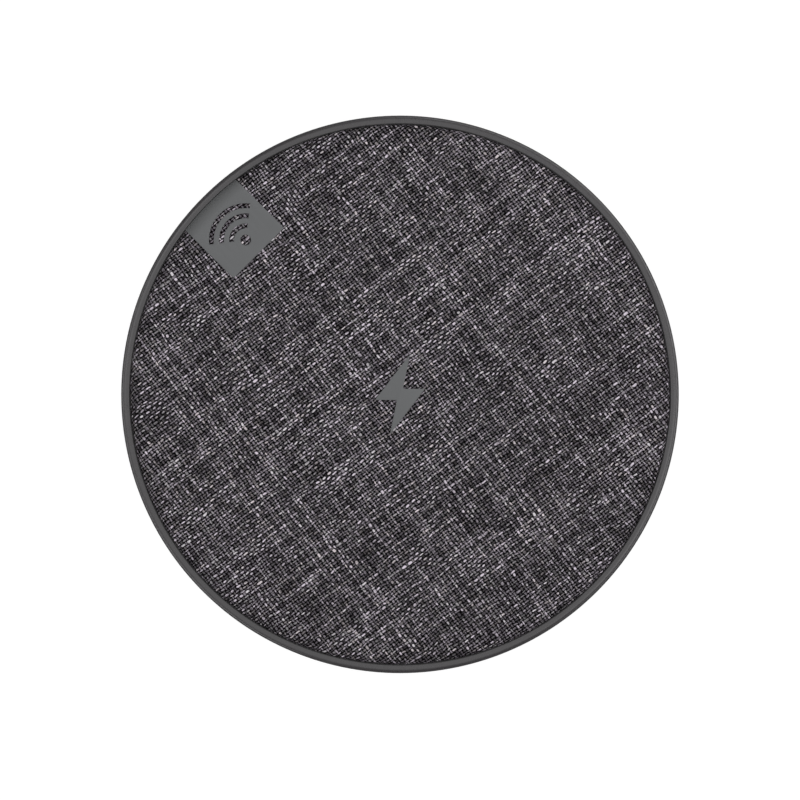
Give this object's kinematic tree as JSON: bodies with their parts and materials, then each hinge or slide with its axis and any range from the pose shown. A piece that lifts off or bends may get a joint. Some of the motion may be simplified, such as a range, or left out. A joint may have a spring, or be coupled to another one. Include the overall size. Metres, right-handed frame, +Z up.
{
  "type": "wireless charging pad",
  "caption": "Round low wireless charging pad: woven cloth top in a plastic ring, soft corner tab, charging socket at the back and status light at the front.",
  "frame": {"origin": "centre of the plane that the pad stands on, under the middle of the ring", "axes": "+Z up through the cloth top, +Y towards the charging socket at the back, -Y towards the status light at the front"},
  "size_m": [0.11, 0.11, 0.0099],
  "materials": {
    "ring_plastic": "fine satin charcoal moulded plastic",
    "woven_cloth": "plain-woven melange cloth in dark and light grey yarns",
    "soft_grey": "matt soft-touch grey rubber",
    "adhesive_film": "thin double-sided film",
    "inner_plastic": "plain black moulded plastic",
    "cover_plastic": "fine spark-eroded black plastic",
    "silicone": "matt black anti-slip silicone",
    "screw_steel": "dark zinc-plated steel",
    "coil_wire": "enamelled copper strands under a clear wrap",
    "ferrite": "dark sintered ferrite",
    "sensor_epoxy": "glossy epoxy bead",
    "circuit_board": "green solder mask over copper",
    "socket_steel": "drawn stainless steel",
    "socket_black": "glass-filled black plastic",
    "capacitor_ceramic": "sintered ceramic with tinned ends",
    "chip_black": "moulded black epoxy",
    "light_window": "frosted blue light guide, lit",
    "light_body": "phosphor-filled lamp",
    "cable_insulation": "red flat cable insulation"
  },
  "bodies": {
    "root": {"outer_ring": "ring_plastic", "fabric_cover": "woven_cloth", "corner_tab": "soft_grey", "centre_mark": "soft_grey", "fabric_film": "adhesive_film", "top_plate": "inner_plastic", "bottom_cover": "cover_plastic", "foot_ring": "silicone", "cover_screw_1": "screw_steel", "cover_screw_2": "screw_steel", "cover_screw_3": "screw_steel", "cover_screw_4": "screw_steel", "transmitter_coil": "coil_wire", "coil_film": "adhesive_film", "ferrite_film": "adhesive_film", "ferrite_shield": "ferrite", "coil_sensor": "sensor_epoxy", "main_board": "circuit_board", "socket_shell": "socket_steel", "socket_insulator": "socket_black", "input_capacitor_left": "capacitor_ceramic", "input_capacitor_right": "capacitor_ceramic", "power_request_chip": "chip_black", "supply_inductor": "ferrite", "transmitter_controller": "chip_black", "half_bridge_front": "chip_black", "half_bridge_rear": "chip_black", "timing_crystal": "socket_steel", "current_sense_resistor": "chip_black", "resonant_capacitor_1": "capacitor_ceramic", "resonant_capacitor_2": "capacitor_ceramic", "resonant_capacitor_3": "capacitor_ceramic", "resonant_capacitor_4": "capacitor_ceramic", "board_screw_1": "screw_steel", "board_screw_2": "screw_steel", "light_guide": "light_window", "status_light": "light_body", "light_board": "circuit_board", "light_cable": "cable_insulation"}
  },
  "joints": []
}
